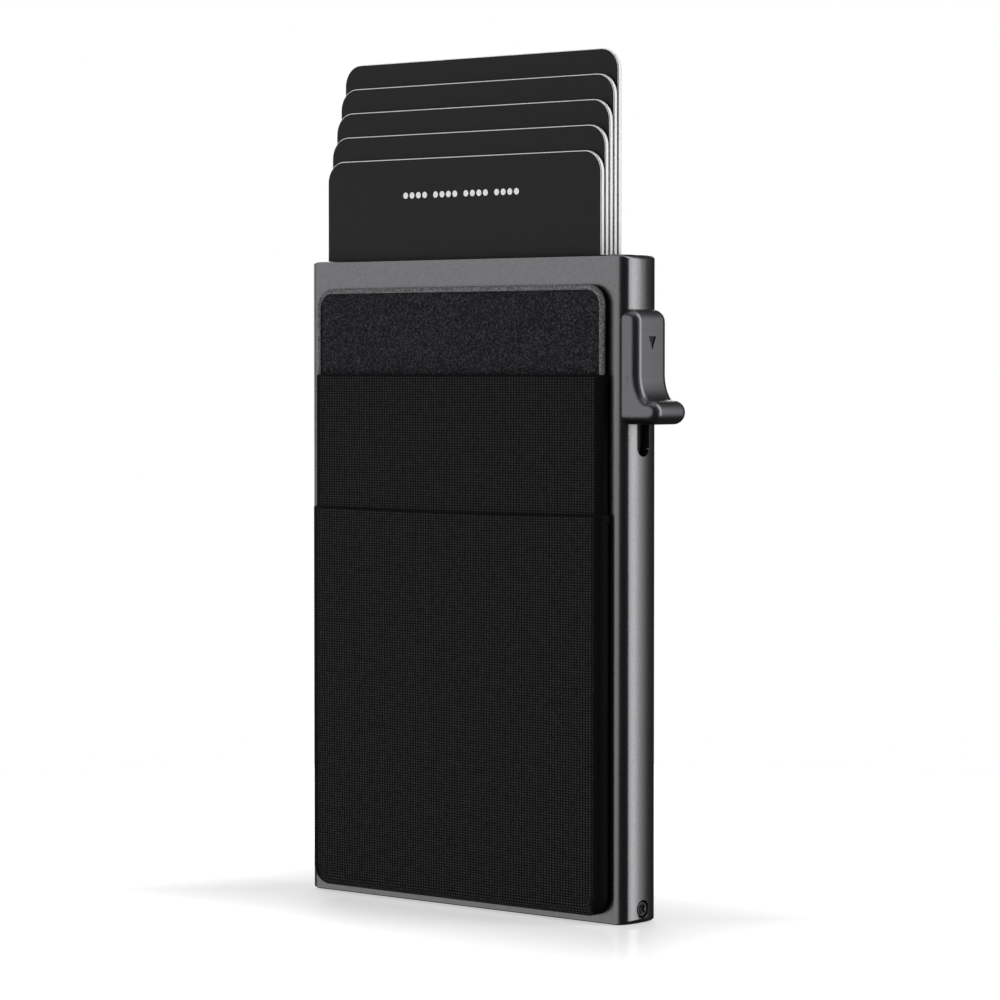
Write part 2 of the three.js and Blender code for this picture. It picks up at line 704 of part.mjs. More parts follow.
const tape = sheet(TAPE_INSET, PANEL_BOTTOM, panelTop - TAPE_INSET, tapeFront, -halfDepth, true);
add("adhesive_pad", "tape", tape, pocket);
const board = sheet(0, PANEL_BOTTOM, panelTop, boardFront, tapeFront, true);
add("panel_board", "rim_leatherette", board, pocket);
add("panel_rim", "rim_leatherette", panelRim(), pocket);
const lining = sheet(RIM_WIDTH, PANEL_BOTTOM, panelTop - RIM_WIDTH, liningFront, boardFront, true);
add("lining_sheet", "lining_suede", lining, pocket);
const upper = sheet(RIM_WIDTH, PANEL_BOTTOM, upperPocketTop, upperFront, liningFront, false);
add("pocket_upper", "elastic", upper, pocket);
const lower = sheet(RIM_WIDTH, PANEL_BOTTOM, lowerPocketTop, lowerFront, upperFront, false);
add("pocket_lower", "elastic", lower, pocket);

for (let i = 0; i < CARD_COUNT; i += 1) {
  add(`card_${i + 1}`, "card_plastic", card(i), cards);
}

export default wallet;
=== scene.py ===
"""Looks of the pop-up card wallet: case, lever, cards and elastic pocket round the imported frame."""

import math

import bmesh
import bpy
from bpy.props import FloatProperty, FloatVectorProperty, IntProperty, PointerProperty, StringProperty
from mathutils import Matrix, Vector


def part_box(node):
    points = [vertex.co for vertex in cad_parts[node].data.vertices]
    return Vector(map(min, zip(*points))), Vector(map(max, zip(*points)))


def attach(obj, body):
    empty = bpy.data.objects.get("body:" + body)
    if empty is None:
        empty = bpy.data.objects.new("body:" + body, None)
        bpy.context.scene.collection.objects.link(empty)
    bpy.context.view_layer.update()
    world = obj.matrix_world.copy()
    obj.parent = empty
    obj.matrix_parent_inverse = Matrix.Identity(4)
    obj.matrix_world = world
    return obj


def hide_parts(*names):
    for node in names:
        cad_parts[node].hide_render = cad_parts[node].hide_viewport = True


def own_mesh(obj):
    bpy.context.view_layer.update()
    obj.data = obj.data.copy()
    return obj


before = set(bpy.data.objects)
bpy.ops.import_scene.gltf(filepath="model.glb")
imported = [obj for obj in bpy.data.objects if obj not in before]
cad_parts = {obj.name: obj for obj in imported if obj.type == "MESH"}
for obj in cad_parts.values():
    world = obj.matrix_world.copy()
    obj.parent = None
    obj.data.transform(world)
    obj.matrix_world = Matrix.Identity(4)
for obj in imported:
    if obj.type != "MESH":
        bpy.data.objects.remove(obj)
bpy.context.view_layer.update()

bl_info = {
    "name": "Pop-up card wallet",
    "version": (1, 0, 0),
    "blender": (4, 5, 0),
    "location": "View3D > Sidebar > Wallet",
    "description": "Builds the case, thumb lever, cards and elastic pocket of a pop-up card wallet",
    "category": "Add Mesh",
}

MM = 0.001
NEAR = 1e-6  # metres within which two places are the same
LOOSE = 1e-5  # the same where a rounding or a cut may have moved a place a little
WELD = 1e-7  # metres within which points are joined
SLIVER = 0.02 * MM  # width of a face that is left over between two roundings
ROUND_END = 0.99  # share of a slot's half width that rounds its ends
ALMOST = 0.999  # share of its room that a full rounding takes, so that no edge shrinks to nothing
WAVE = 0.314  # period of a wave texture at a scale of 1
PILLOW_GROW = 0.02 * MM  # width that the pillow has beyond the tube's
PILLOW_DEPTH = 1.09  # depth of the pillow, as a share of the tube's
LINING_SET_BACK = 0.03 * MM  # lining behind the front of the space that the frame gives it
LAYER_GAP = 0.01 * MM  # upper pocket to lower pocket, where both roll round the panel's sides
CUT_BACK = 0.2 * MM  # elastic's cut edge in front of the board's back
# Painted shadow: a dark margin painted into the elastic below a pocket's mouth.
PAINTED_MOUTH_SHADOW = 0.08 * MM  # black margin below the fold of a pocket's mouth


# ---------- colours and materials ----------


def linear(code):
    """An sRGB hex colour as the linear colour that a shader takes."""
    channels = [int(code[i : i + 2], 16) / 255 for i in (1, 3, 5)]
    return tuple(c / 12.92 if c <= 0.04045 else ((c + 0.055) / 1.055) ** 2.4 for c in channels) + (1.0,)


def shades(colour, *stops):
    """Ramp stops that are one hex colour, each at its position with its share of brightness."""
    base = Vector(linear(colour)[:3])
    return [(position, (*(base * share), 1)) for position, share in stops]


def feed(tree, node, inputs):
    """Sets a node's inputs: each is a value, a socket to link, or a node whose first output is meant."""
    for name, value in inputs.items():
        if isinstance(value, bpy.types.Node):
            value = value.outputs[0]
        if isinstance(value, bpy.types.NodeSocket):
            tree.links.new(value, node.inputs[name])
        else:
            node.inputs[name].default_value = value


def add_node(tree, kind, inputs=None, stops=(), **settings):
    """Adds one shader node with its inputs, its settings and, on a colour ramp, its stops."""
    node = tree.nodes.new("ShaderNode" + kind)
    for name, value in settings.items():
        setattr(node, name, value)
    feed(tree, node, inputs or {})
    if stops:
        elements = node.color_ramp.elements
        while len(elements) < len(stops):
            elements.new(0.5)
        for element, (position, colour) in zip(elements, stops):
            element.position = position
            element.color = colour
    return node


def new_material(name):
    """A material with its node tree and its one principled shader."""
    material = bpy.data.materials.new(name)
    material.use_nodes = True
    return material, material.node_tree, material.node_tree.nodes["Principled BSDF"]


def in_millimetres(tree, stretch=(1, 1, 1)):
    """The piece's own coordinates in millimetres, stretched along each axis."""
    where = add_node(tree, "TexCoord").outputs["Object"]
    return add_node(tree, "Mapping", {"Vector": where, "Scale": [s / MM for s in stretch]})


def grained(name, fixed, grain, stretch=(1, 1, 1), stops=(), rough=None, relief=None):
    """A material in which one noise varies the colour, the roughness and the relief.

    A noise of scale S has cells of 1/S mm, and relief is its height in millimetres and its strength.
    """
    material, tree, shader = new_material(name)
    noise = add_node(tree, "TexNoise", {"Vector": in_millimetres(tree, stretch), **grain})
    feed(tree, shader, fixed)
    if stops:
        feed(tree, shader, {"Base Color": add_node(tree, "ValToRGB", {"Fac": noise}, stops)})
    if rough:
        spread = {"Value": noise, "To Min": rough[0], "To Max": rough[1]}
        feed(tree, shader, {"Roughness": add_node(tree, "MapRange", spread)})
    if relief:
        height = {"Height": noise, "Distance": relief[0] * MM, "Strength": relief[1]}
        feed(tree, shader, {"Normal": add_node(tree, "Bump", height)})
    return material


def blasted_aluminium(colour):
    """Anodised aluminium, extruded and bead-blasted: an even satin grey with a fine sandy grain."""
    # Bead marks are about 0.05 mm across, drawn at 0.3 mm so that they show.
    return grained(
        "anodised_blasted_aluminium",
        {"Metallic": 1.0},
        {"Scale": 3.0, "Detail": 3.0, "Roughness": 0.65},
        stops=shades(colour, (0.3, 0.86), (0.7, 1.12)),
        rough=(0.25, 0.33),
        relief=(0.004, 0.6),
    )


def brushed_aluminium(colour):
    """Anodised aluminium, milled and brushed across its width: satin with faint fine lines."""
    # Brush lines are about 0.03 mm apart, drawn at 0.12 mm.
    return grained(
        "anodised_brushed_aluminium",
        {"Metallic": 1.0},
        {"Scale": 1.0, "Detail": 3.0, "Roughness": 0.6},
        stretch=(0.6, 0.08, 8.0),
        stops=shades(colour, (0.3, 0.92), (0.7, 1.06)),
        rough=(0.3, 0.38),
        relief=(0.003, 0.5),
    )


def engraved_aluminium():
    """The floor of a laser-engraved mark: darker and rougher than the metal round it, with burn lines."""
    # Burn lines are about 0.05 mm apart, drawn at 0.14 mm.
    return grained(
        "laser_engraved_aluminium",
        {"Metallic": 1.0, "Roughness": 0.55},
        {"Scale": 1.2, "Detail": 2.0},
        stretch=(1.0, 0.3, 6.0),
        stops=[(0.35, linear("#29292a")), (0.65, linear("#3f3f40"))],
        relief=(0.01, 0.6),
    )


def black_steel():
    """Black-oxided steel, turned and dipped: near black with a dull oily sheen."""
    # The oxide's mottle is about 0.1 mm, drawn at 0.17 mm.
    return grained(
        "black_oxide_steel",
        {"Metallic": 1.0},
        {"Scale": 6.0, "Detail": 3.0},
        stops=[(0.3, linear("#3a3a3c")), (0.7, linear("#4c4c4f"))],
        rough=(0.36, 0.48),
    )


def bright_steel():
    """Plain stainless steel, drawn and pressed: bright with faint draw lines along its length."""
    # Draw lines are about 0.02 mm apart, drawn at 0.12 mm.
    return grained(
        "drawn_stainless_steel",
        {"Metallic": 1.0},
        {"Scale": 1.0, "Detail": 2.0},
        stretch=(8.0, 8.0, 0.3),
        stops=[(0.3, linear("#a9abad")), (0.7, linear("#c3c5c7"))],
        rough=(0.22, 0.34),
    )


def moulded_acetal():
    """Black acetal, injection moulded: a low waxy sheen over a fine spark-eroded grain."""
    # The mould's grain is about 0.1 mm, drawn at 0.25 mm.
    return grained(
        "moulded_black_acetal",
        {"Base Color": linear("#232325"), "IOR": 1.48},
        {"Scale": 4.0, "Detail": 2.0},
        rough=(0.42, 0.56),
        relief=(0.008, 0.5),
    )


def pressed_felt():
    """Black pressed felt: no gloss, short matted fibres with pale tips."""
    # Fibres are about 0.03 mm thick, drawn in tufts of 0.1 to 0.2 mm.
    return grained(
        "pressed_felt",
        {"Roughness": 0.95, "Sheen Weight": 0.3, "Sheen Roughness": 0.6},
        {"Scale": 5.0, "Detail": 4.0, "Roughness": 0.7},
        stretch=(1.0, 1.0, 2.2),
        stops=[(0.35, linear("#141415")), (0.7, linear("#333336"))],
        relief=(0.06, 0.7),
    )


def foam_tape():
    """Double-sided acrylic foam tape, die cut: mid grey and slightly porous at its edge."""
    # Foam cells are about 0.15 mm, drawn at that size.
    return grained(
        "acrylic_foam_tape",
        {"Roughness": 0.75},
        {"Scale": 7.0, "Detail": 2.0},
        stops=[(0.3, linear("#55565a")), (0.7, linear("#6d6e71"))],
        relief=(0.02, 0.5),
    )


def knit_binding(colour):
    """Charcoal knit, hot-pressed into an edging: matt, with flattened stitches and paler worn crowns."""
    # Stitches are about 0.15 mm wide, drawn at 0.3 mm.
    return grained(
        "pressed_knit_binding",
        {"Roughness": 0.85, "Sheen Weight": 0.15, "Sheen Roughness": 0.5},
        {"Scale": 3.2, "Detail": 3.0, "Roughness": 0.65},
        stops=shades(colour, (0.4, 0.4), (0.64, 1.7)),
        relief=(0.05, 0.6),
    )


def black_edge_and_shade():
    """Black edge paint, rolled on a cut edge: near black with a dull skin, which also stands as painted
    shade for the dark lines round the panel's edging.
    """
    # The roller's ripple is about 0.3 mm, drawn at that size.
    return grained(
        "rolled_black_edge_and_shade",
        {"Base Color": linear("#0c0c0d"), "IOR": 1.3},
        {"Scale": 3.0, "Detail": 2.0},
        rough=(0.6, 0.75),
    )


def microsuede(colour):
    """Black microsuede, napped: soft and matt, with a random speckle of light and dark fibre tips."""
    # Tufts are about 0.1 mm, drawn at 0.2 mm.
    return grained(
        "napped_microsuede",
        {"Roughness": 1.0, "IOR": 1.25, "Sheen Weight": 0.06, "Sheen Roughness": 0.4},
        {"Scale": 4.6, "Detail": 3.0, "Roughness": 0.7},
        stops=shades(colour, (0.38, 0.15), (0.52, 0.7), (0.7, 3.4)),
        relief=(0.09, 0.8),
    )


def laminated_card(colour):
    """Black laminated card face, pressed between polished plates: smooth satin with a faint orange peel."""
    # The orange peel is about 1.2 mm, drawn at that size.
    return grained(
        "laminated_card_face",
        {"Base Color": linear(colour), "IOR": 1.35},
        {"Scale": 0.8, "Detail": 2.0},
        rough=(0.62, 0.7),
        relief=(0.004, 0.4),
    )


def card_core():
    """White card core, punched from sheet: bright and matt, with faint shear lines along the edge."""
    # Shear lines are about 0.1 mm apart, drawn at 0.17 mm.
    return grained(
        "punched_card_core",
        {"Roughness": 0.6, "IOR": 1.53},
        {"Scale": 1.0, "Detail": 2.0},
        stretch=(6.0, 1.0, 6.0),
        stops=[(0.3, linear("#f8f8f7")), (0.7, linear("#ffffff"))],
    )


def printed_ink():
    """White ink, screen printed: flat white with a slightly uneven film."""
    # The film's unevenness is about 0.3 mm, drawn at that size.
    return grained(
        "screen_printed_ink",
        {"Roughness": 0.5},
        {"Scale": 3.0, "Detail": 2.0},
        stops=[(0.3, linear("#ececec")), (0.7, linear("#ffffff"))],
    )


def woven_elastic(colour, flat, side, top):
    """Black elastic, woven with covered rubber: a fine square grid of threads, with painted shade over its
    rolled sides and its mouth.
    """
    material, tree, shader = new_material("woven_elastic")
    width, height = flat[0] / MM, flat[1] / MM
    cut_place = add_node(tree, "TexCoord").outputs["UV"]
    place = add_node(tree, "Mapping", {"Vector": cut_place, "Scale": (width, height, 1.0)})
    # Threads are about 0.2 mm apart, drawn 0.52 mm apart across and 0.38 mm apart along.
    wave = {"Vector": place, "Distortion": 1.3, "Detail": 1.0, "Detail Scale": 2.0}
    warp, weft = [
        add_node(tree, "TexWave", {**wave, "Scale": WAVE / pitch}, bands_direction=direction).outputs["Fac"]
        for direction, pitch in (("X", 0.52), ("Y", 0.38))
    ]
    weave = add_node(tree, "Math", {0: warp, 1: weft}, operation="MULTIPLY")
    patches = add_node(tree, "TexNoise", {"Vector": place, "Scale": 0.9, "Detail": 3.0, "Roughness": 0.6})
    uneven = add_node(tree, "Math", {0: weave, 1: patches}, operation="MULTIPLY")
    # Painted shade: the weave is darkened towards black over the rolled sides and the mouth's fold, where
    # the cloth turns away from the light.
    axes = add_node(tree, "SeparateXYZ", {"Vector": place})
    offset = add_node(tree, "Math", {0: axes.outputs["X"], 1: width / 2}, operation="SUBTRACT")
    aside = add_node(tree, "Math", {0: offset}, operation="ABSOLUTE")
    side_shade, mouth_shade = [
        add_node(tree, "MapRange", {"Value": value, "From Min": start, "From Max": start + fade})
        for value, start, fade in (
            (aside, width / 2 - side / MM, 0.35),
            (axes.outputs["Y"], height - top / MM, 0.05),
        )
    ]
    edge = add_node(tree, "Math", {0: side_shade, 1: mouth_shade}, operation="MAXIMUM")
    unshaded = add_node(tree, "Math", {0: 1.0, 1: edge}, operation="SUBTRACT")
    shaded_weave = add_node(tree, "Math", {0: uneven, 1: unshaded}, operation="MULTIPLY")
    stops = shades(colour, (0.0, 0.15), (0.04, 0.55), (0.42, 4.2))
    tint = add_node(tree, "ValToRGB", {"Fac": shaded_weave}, stops)
    relief = add_node(tree, "Bump", {"Height": weave, "Distance": 0.05 * MM, "Strength": 0.6})
    feed(tree, shader, {"Base Color": tint, "Roughness": 0.85, "IOR": 1.25, "Normal": relief})
    return material


def lit_acrylic():
    """White acrylic light table: evenly pale, with a polished spot that mirrors the wallet's foot."""
    material, tree, shader = new_material("lit_white_acrylic")
    feed(tree, shader, {"Base Color": (0.5, 0.5, 0.5, 1), "Roughness": 0.6})
    feed(tree, shader, {"Emission Color": (1, 1, 1, 1), "Emission Strength": 0.86})
    place = add_node(tree, "VectorMath", {0: in_millimetres(tree)}, operation="ABSOLUTE")
    axes = add_node(tree, "SeparateXYZ", {"Vector": place})
    # The polish fades with the distance from the wallet's foot, all in millimetres.
    foot = {"X": 30.0, "Y": 4.0}
    polished = 48.0
    beside, before = [
        add_node(tree, "Math", {0: axes.outputs[axis], 1: half}, operation="SUBTRACT")
        for axis, half in foot.items()
    ]
    away = add_node(tree, "Math", {0: beside, 1: before}, operation="MAXIMUM")
    fade = {"Value": away, "From Min": 0.0, "From Max": polished, "To Min": 1.0, "To Max": 0.0}
    polish = add_node(tree, "MapRange", fade, interpolation_type="SMOOTHSTEP")
    glancing = add_node(tree, "Fresnel", {"IOR": 1.25})
    share = add_node(tree, "Math", {0: polish, 1: glancing}, operation="MULTIPLY")
    mirror = add_node(tree, "BsdfGlossy", {"Roughness": 0.06})
    mix = add_node(tree, "MixShader", {0: share, 1: shader, 2: mirror})
    feed(tree, tree.nodes["Material Output"], {"Surface": mix})
    return material


# ---------- tools for modelling ----------


def clear_selection():
    """Object mode with nothing selected."""
    if bpy.context.object and bpy.context.object.mode != "OBJECT":
        bpy.ops.object.mode_set(mode="OBJECT")
    bpy.ops.object.select_all(action="DESELECT")


def take(piece):
    """Makes the piece the only selected object and the active one."""
    clear_selection()
    piece.select_set(True)
    bpy.context.view_layer.objects.active = piece


def edit(piece):
    """Opens the piece for editing with all of it selected."""
    take(piece)
    bpy.ops.object.mode_set(mode="EDIT")
    bpy.ops.mesh.select_all(action="SELECT")


def choose(piece, kind, test):
    """Selects the points, edges or faces that pass the test."""
    bpy.ops.mesh.select_mode(type=kind)
    bpy.ops.mesh.select_all(action="DESELECT")
    mesh = bmesh.from_edit_mesh(piece.data)
    mesh.normal_update()
    for part in {"VERT": mesh.verts, "EDGE": mesh.edges, "FACE": mesh.faces}[kind]:
        part.select_set(bool(test(part)))
    bmesh.update_edit_mesh(piece.data)


def runs_along(edge, axis):
    """Whether an edge is parallel to the axis 0, 1 or 2."""
    line = edge.verts[1].co - edge.verts[0].co
    return abs(line[axis]) > ALMOST * line.length


def lies_at(part, axis, value, near=NEAR):
    """Whether every point of an edge or face has that coordinate."""
    return all(abs(v.co[axis] - value) < near for v in part.verts)


def on_outline(edge):
    """Whether an edge of a front or back face is where the face ends."""
    return len(edge.link_faces) == 2 and min(abs(f.normal.y) for f in edge.link_faces) < 0.5


def middle(part):
    """The middle of an edge's or a face's points."""
    return sum((v.co for v in part.verts), Vector()) / len(part.verts)


def block(name, low, high):
    """A box between two corners, as a cube with its size and place in its mesh."""
    clear_selection()
    low, high = Vector(low), Vector(high)
    bpy.ops.mesh.primitive_cube_add(size=1, location=(low + high) / 2)
    piece = bpy.context.object
    piece.scale = high - low
    bpy.ops.object.transform_apply(location=True, rotation=True, scale=True)
    piece.name = piece.data.name = name
    return piece


def rod(name, axis, start, end, radius, across, sides=48):
    """A round bar along X or Y between two places on that axis."""
    clear_selection()
    half = (start + end) / 2
    place = (half, across[0], across[1]) if axis == "X" else (across[0], half, across[1])
    turn = (0, math.pi / 2, 0) if axis == "X" else (math.pi / 2, 0, 0)
    bpy.ops.mesh.primitive_cylinder_add(
        vertices=sides, radius=radius, depth=abs(end - start), location=place, rotation=turn
    )
    bpy.ops.object.transform_apply(location=True, rotation=True, scale=True)
    piece = bpy.context.object
    piece.name = piece.data.name = name
    return piece


def round_corners(piece, axis, radius, segments):
    """Rounds the four edges of a box that run along an axis, and leaves it open for editing."""
    edit(piece)
    choose(piece, "EDGE", lambda e: runs_along(e, axis))
    bpy.ops.mesh.bevel(offset=radius, segments=segments, affect="EDGES")


def case_form(name, sizes, grow, low, high):
    """The case's outline as a solid, grown all round: a tight corner runs into a wide round end."""
    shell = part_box("case_shell")[1]
    end, half = shell.x + grow, shell.y + grow
    corner, bow = sizes.corner + grow, sizes.bow + grow
    turn = math.acos((half - corner) / (bow - corner))
    reach = corner * math.tan(turn / 2)
    half_bow = bow / math.tan(turn)
    tip = end + bow / math.sin(turn) - bow
    shoulder = tip - half / math.tan(turn)
    # A box with pointed ends, whose flanks touch the bow and the corners that then round them.
    solid = block(name, (-shoulder, -half, low), (shoulder, half, high))
    edit(solid)
    choose(solid, "EDGE", lambda e: runs_along(e, 1))
    bpy.ops.mesh.subdivide(number_cuts=1)
    choose(solid, "EDGE", lambda e: runs_along(e, 0) and lies_at(e, 1, 0))
    bpy.ops.mesh.dissolve_edges(use_verts=False)
    choose(solid, "VERT", lambda v: abs(v.co.y) < NEAR)
    bpy.ops.transform.resize(value=(tip / shoulder, 1, 1), center_override=(0, 0, 0))
    choose(solid, "EDGE", lambda e: runs_along(e, 2) and lies_at(e, 1, 0))
    bpy.ops.mesh.bevel(offset=half_bow * ALMOST, segments=12, affect="EDGES")
    choose(solid, "EDGE", lambda e: runs_along(e, 2) and abs(middle(e).y) > half - NEAR)
    bpy.ops.mesh.bevel(offset=reach * ALMOST, segments=14, affect="EDGES")
    # Where one rounding runs into the next, the last slivers are joined.
    bpy.ops.mesh.select_all(action="SELECT")
    bpy.ops.mesh.remove_doubles(threshold=SLIVER)
    bpy.ops.object.mode_set(mode="OBJECT")
    reached = max(v.co.x for v in solid.data.vertices)
    solid.scale = (end / reached, 1, 1)
    bpy.ops.object.transform_apply(location=False, rotation=False, scale=True)
    return solid


def apply_modifier(piece, kind, **settings):
    """Adds one modifier, sets it and applies it."""
    take(piece)
    bpy.ops.object.modifier_add(type=kind)
    modifier = piece.modifiers[-1]
    for name, value in settings.items():
        setattr(modifier, name, value)
    bpy.ops.object.modifier_apply(modifier=modifier.name)


def cut(piece, cutter):
    """Cuts one piece out of another and clears the cutter away."""
    apply_modifier(piece, "BOOLEAN", operation="DIFFERENCE", solver="EXACT", object=cutter)
    bpy.data.meshes.remove(cutter.data)


def finish_piece(piece, materials, body, nodes=(), smooth=35, weighted=True):
    """Smooths a piece, gives it its materials and hangs it on its body."""
    edit(piece)
    bpy.ops.mesh.remove_doubles(threshold=WELD)
    bpy.ops.mesh.normals_make_consistent(inside=False)
    take(piece)
    for material in materials:
        if material.name not in piece.data.materials:
            piece.data.materials.append(material)
    bpy.ops.object.shade_smooth_by_angle(angle=math.radians(smooth))
    if weighted:
        apply_modifier(piece, "WEIGHTED_NORMAL", keep_sharp=True, weight=50)
    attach(piece, body)
    if nodes:
        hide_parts(*nodes)


def paint_faces(piece, index, test):
    """Gives the faces that pass the test the piece's material of that index."""
    edit(piece)
    choose(piece, "FACE", test)
    piece.active_material_index = index
    bpy.ops.object.material_slot_assign()
    bpy.ops.object.mode_set(mode="OBJECT")


# ---------- sizes and colours ----------


def length(name, description, size):
    """A property for a length, with its default in millimetres."""
    return FloatProperty(name=name, description=description, default=size * MM, unit="LENGTH")


class WalletCase(bpy.types.PropertyGroup):
    """Sizes and colour of the case."""

    corner: length("Corner", "Radius from the faces into the ends", 1.85)
    bow: length("Bow", "Wide radius across the ends", 9.0)
    end: length("End", "Rounding of the ends' top and bottom", 1.0)
    rim: length("Rim", "Eased edge of the rims and cut-outs", 0.14)
    wall: length("Wall", "Wall of the tube", 1.2)
    well_corner: length("Well corner", "Corner radius inside the tube", 1.3)
    slot_width: length("Slot", "Width of the lever's slot", 2.7)
    slot_low: length("Slot bottom", "Lower end of the slot", 67.1)
    slot_high: length("Slot top", "Upper end of the slot", 81.9)
    seat: length("Screw seat", "Radius of the hole for a screw's head", 1.32)
    seat_height: length("Seat height", "Middle of the screws above the bottom", 2.1)
    colour: StringProperty(name="Colour", description="Anodised colour of the case", default="#6c6c6e")


class WalletScrews(bpy.types.PropertyGroup):
    """Sizes of the two cross-head screws."""

    shank: length("Shank", "Radius of the shank", 0.7)
    head: length("Head", "Radius of the head", 1.06)
    cone: length("Cone", "Length of the head's cone", 0.22)
    brim: length("Brim", "Thickness of the head's straight brim", 0.2)
    cross_width: length("Cross width", "Width of a slot of the cross", 0.4)
    cross_span: length("Cross span", "Length of a slot of the cross", 1.44)
    cross_depth: length("Cross depth", "Depth of the cross", 0.35)
    edge: length("Edge", "Rounding of the head's edges", 0.05)


class WalletLever(bpy.types.PropertyGroup):
    """Sizes and colour of the thumb lever."""

    stand: length("Stand", "Pad beyond the case's end", 1.6)
    nose_height: length("Nose height", "Height of the foot", 3.45)
    nose_round: length("Nose round", "Rounding of the foot's tip", 1.72)
    hollow: length("Hollow", "Height of the concave sweep", 3.8)
    pad_corner: length("Pad corner", "Rounding of the pad's top", 1.8)
    edge: length("Edge", "Rounding of the front and back edges", 1.45)
    wrap: length("Wrap", "How far the lever reaches round the case's end", 2.5)
    gap: length("Gap", "Lever to case", 0.15)
    arrow_drop: length("Arrow drop", "Arrow below the lever's top", 3.85)
    arrow_width: length("Arrow width", "Width of the arrow", 1.65)
    arrow_height: length("Arrow height", "Height of the arrow", 1.95)
    arrow_depth: length("Arrow depth", "Depth of the arrow", 0.2)
    colour: StringProperty(name="Colour", description="Anodised colour of the lever", default="#67676a")


class WalletCards(bpy.types.PropertyGroup):
    """Sizes and colour of the cards."""

    count: IntProperty(name="Cards", description="How many cards stand in the case", default=5)
    corner: length("Corner", "Corner radius of a card", 3.18)
    edge: length("Edge", "Chamfer of a card's edges", 0.12)
    groups: IntProperty(name="Groups", description="How many groups of dots are printed", default=4)
    per_group: IntProperty(name="Dots in a group", description="How many dots a group has", default=4)
    dot: length("Dot", "Radius of a printed dot", 0.48)
    dot_pitch: length("Dot pitch", "From one dot to the next", 1.28)
    group_gap: length("Group gap", "Extra room between two groups", 0.9)
    dot_drop: length("Dot drop", "Dots below the card's top", 5.5)
    ink: length("Ink", "Thickness of the printed film", 0.02)
    colour: StringProperty(name="Colour", description="Colour of the card faces", default="#1a1a1b")


class WalletPocket(bpy.types.PropertyGroup):
    """Sizes and colours of the stick-on pocket."""

    corner: length("Corner", "Corner radius of the panel", 3.0)
    inset: length("Inset", "Board and edging inside the elastic's outline", 0.4)
    board_edge: length("Board edge", "Chamfer of the board's edges", 0.12)
    rim_width: length("Rim width", "Width of the edging", 0.85)
    rim_round: length("Rim round", "Rounding of the edging's front", 0.38)
    suede: length("Suede", "Thickness of the lining", 0.1)
    suede_sink: length("Suede sink", "How far the lining's edge sinks at the edging", 0.18)
    suede_reach: length("Suede reach", "How far in from its edge the lining still sinks", 0.35)
    roll: length("Roll", "Width of the elastic's rolled edge", 1.7)
    roll_depth: length("Roll depth", "Depth of the rolled edge", 1.0)
    hem: length("Hem", "Radius of the fold at a pocket's mouth", 0.18)
    tuck: length("Tuck", "Length turned in behind the mouth", 1.2)
    crown: length("Crown", "How far a pocket bulges", 0.12)
    cloth: length("Cloth", "Thickness of the elastic", 0.12)
    sag: length("Sag", "Dip of the lower mouth's middle", 0.25)
    sag_reach: length("Sag reach", "How far down the dip is felt", 12)
    rim_colour: StringProperty(name="Rim", description="Colour of the edging", default="#626264")
    lining_colour: StringProperty(name="Lining", description="Colour of the lining", default="#2a2a2e")
    elastic_colour: StringProperty(name="Elastic", description="Colour of the elastic", default="#151516")


class WalletSpring(bpy.types.PropertyGroup):
    """Sizes of the return spring."""

    wire: length("Wire", "Radius of the wire", 0.18)
    turns: IntProperty(name="Turns", description="How many turns the spring has", default=9)


class WalletStage(bpy.types.PropertyGroup):
    """Camera and floor."""

    eye: FloatVectorProperty(
        name="Camera", description="Where the camera stands", default=(0.370831, -0.421822, 0.080038)
    )
    turn: FloatProperty(
        name="Turn", description="Camera's turn about Z", default=math.radians(41), subtype="ANGLE"
    )
    tilt: FloatProperty(
        name="Tilt", description="Camera's tilt below level", default=math.radians(2.023), subtype="ANGLE"
    )
    lens: FloatProperty(name="Lens", description="Focal length in mm on a 36 mm frame", default=136.18)
    floor: length("Floor", "Radius of the floor", 200)


# Each light has a name, azimuth, elevation, distance, width and height, and brightness as seen.
# Azimuth 0 is in front of the wallet, and 90 is on the lever's side.
LIGHTS = (
    ("front_left", -27, 8, 0.9, (1.68, 1.1), 1.15),
    ("right", 116, 20, 0.9, (0.36, 1.6), 3.8),
    ("right_rear", 133, 20, 0.9, (0.26, 1.6), 1.05),
    ("left", 255, 20, 0.9, (0.7, 0.9), 1.2),
    ("behind", 221, 17, 0.8, (0.7, 0.2), 4.0),
    ("overhead", 0, 90, 0.8, (0.9, 0.9), 0.8),
)
LIT_PLACE = (0, 0, 0.06)  # what the lights face: the wallet's middle


# ---------- pieces ----------


